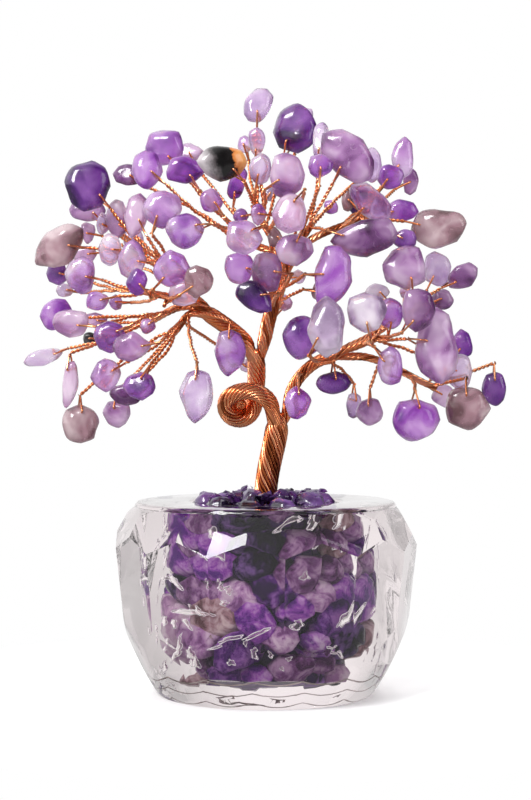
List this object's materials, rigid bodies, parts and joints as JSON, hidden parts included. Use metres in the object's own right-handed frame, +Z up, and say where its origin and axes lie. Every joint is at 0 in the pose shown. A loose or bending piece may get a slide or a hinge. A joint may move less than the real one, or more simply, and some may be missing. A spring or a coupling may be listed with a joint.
{
  "type": "gemstone tree ornament",
  "caption": "Table ornament: a twisted copper wire tree hung with drilled amethyst chips, its looped trunk set among stone chips in a faceted clear glass bowl.",
  "frame": {"origin": "centre of the bowl's flat foot, on the table", "axes": "+Z up along the tree, +X to the right seen from the front, the front faces -Y"},
  "size_m": [0.1258, 0.0772, 0.1557],
  "materials": {
    "clear_glass": "polished flat cuts",
    "clear_resin": "clear cast glue",
    "copper_rope": "bright twisted copper wire",
    "copper_wire": "bright copper wire",
    "bowl_chips": "tumbled amethyst",
    "leaf_stone": "tumbled amethyst"
  },
  "bodies": {
    "tree": {"branch_centre": "copper_rope", "branch_left": "copper_rope", "branch_right": "copper_rope", "chips_heap": "bowl_chips", "chips_lower": "bowl_chips", "chips_middle": "bowl_chips", "chips_upper": "bowl_chips", "glass_bowl": "clear_glass", "resin_plug": "clear_resin", "stem_left_fan": "copper_rope", "stem_left_high": "copper_rope", "stem_left_low": "copper_rope", "stem_left_mid": "copper_rope", "stem_right_high": "copper_rope", "stem_right_low": "copper_rope", "stem_right_mid": "copper_rope", "stem_right_up": "copper_rope", "stem_top_left": "copper_rope", "stem_top_mid": "copper_rope", "stem_top_right": "copper_rope", "stones_centre": "leaf_stone", "stones_left_fan": "leaf_stone", "stones_left_high": "leaf_stone", "stones_left_low": "leaf_stone", "stones_left_mid": "leaf_stone", "stones_right_high": "leaf_stone", "stones_right_low": "leaf_stone", "stones_right_mid": "leaf_stone", "stones_right_under": "leaf_stone", "stones_right_up": "leaf_stone", "stones_top_left": "leaf_stone", "stones_top_mid": "leaf_stone", "stones_top_right": "leaf_stone", "trunk_loop": "copper_rope", "trunk_lower": "copper_rope", "twigs_centre": "copper_wire", "twigs_left_fan": "copper_wire", "twigs_left_high": "copper_wire", "twigs_left_low": "copper_wire", "twigs_left_mid": "copper_wire", "twigs_right_high": "copper_wire", "twigs_right_low": "copper_wire", "twigs_right_mid": "copper_wire", "twigs_right_under": "copper_wire", "twigs_right_up": "copper_wire", "twigs_top_left": "copper_wire", "twigs_top_mid": "copper_wire", "twigs_top_right": "copper_wire"},
    "swing_stone_01": {"swing_stone_01": "leaf_stone"},
    "swing_stone_02": {"swing_stone_02": "leaf_stone"},
    "swing_stone_03": {"swing_stone_03": "leaf_stone"},
    "swing_stone_04": {"swing_stone_04": "leaf_stone"},
    "swing_stone_05": {"swing_stone_05": "leaf_stone"},
    "swing_stone_06": {"swing_stone_06": "leaf_stone"},
    "swing_stone_07": {"swing_stone_07": "leaf_stone"},
    "swing_stone_08": {"swing_stone_08": "leaf_stone"},
    "swing_stone_09": {"swing_stone_09": "leaf_stone"},
    "swing_stone_10": {"swing_stone_10": "leaf_stone"},
    "swing_stone_11": {"swing_stone_11": "leaf_stone"},
    "swing_stone_12": {"swing_stone_12": "leaf_stone"}
  },
  "joints": [
    {"name": "swing_stone_01_hinge", "type": "hinge", "parent": "tree", "child": "swing_stone_01", "pos_m": [-0.05021, 0.00014, 0.08248], "axis": [-0.2667, -0.9638, 0], "range_deg": [-25, 25]},
    {"name": "swing_stone_02_hinge", "type": "hinge", "parent": "tree", "child": "swing_stone_02", "pos_m": [-0.04789, 0.00305, 0.07172], "axis": [0.2362, -0.9717, 0], "range_deg": [-25, 25]},
    {"name": "swing_stone_03_hinge", "type": "hinge", "parent": "tree", "child": "swing_stone_03", "pos_m": [-0.03901, 0.012, 0.07244], "axis": [-0.2595, -0.9657, 0], "range_deg": [-25, 25]},
    {"name": "swing_stone_04_hinge", "type": "hinge", "parent": "tree", "child": "swing_stone_04", "pos_m": [-0.01704, -0.016, 0.08028], "axis": [-0.1068, -0.9943, 0], "range_deg": [-25, 25]},
    {"name": "swing_stone_05_hinge", "type": "hinge", "parent": "tree", "child": "swing_stone_05", "pos_m": [-0.00892, -0.01, 0.09047], "axis": [-0.0933, -0.9956, 0], "range_deg": [-25, 25]},
    {"name": "swing_stone_06_hinge", "type": "hinge", "parent": "tree", "child": "swing_stone_06", "pos_m": [0.00808, -0.013, 0.07649], "axis": [0.0965, -0.9953, 0], "range_deg": [-25, 25]},
    {"name": "swing_stone_07_hinge", "type": "hinge", "parent": "tree", "child": "swing_stone_07", "pos_m": [0.01708, -0.00928, 0.08024], "axis": [0.2528, -0.9675, 0], "range_deg": [-25, 25]},
    {"name": "swing_stone_08_hinge", "type": "hinge", "parent": "tree", "child": "swing_stone_08", "pos_m": [0.02315, 0.01, 0.07447], "axis": [0.2656, -0.9641, 0], "range_deg": [-25, 25]},
    {"name": "swing_stone_09_hinge", "type": "hinge", "parent": "tree", "child": "swing_stone_09", "pos_m": [0.0268, 0, 0.07337], "axis": [-0.2077, -0.9782, 0], "range_deg": [-25, 25]},
    {"name": "swing_stone_10_hinge", "type": "hinge", "parent": "tree", "child": "swing_stone_10", "pos_m": [0.0376, -0.01035, 0.07307], "axis": [0.2562, -0.9666, 0], "range_deg": [-25, 25]},
    {"name": "swing_stone_11_hinge", "type": "hinge", "parent": "tree", "child": "swing_stone_11", "pos_m": [0.05075, -0.00732, 0.07615], "axis": [-0.0731, -0.9973, 0], "range_deg": [-25, 25]},
    {"name": "swing_stone_12_hinge", "type": "hinge", "parent": "tree", "child": "swing_stone_12", "pos_m": [0.05952, 0.007, 0.07991], "axis": [-0.0199, -0.9998, 0], "range_deg": [-25, 25]}
  ]
}
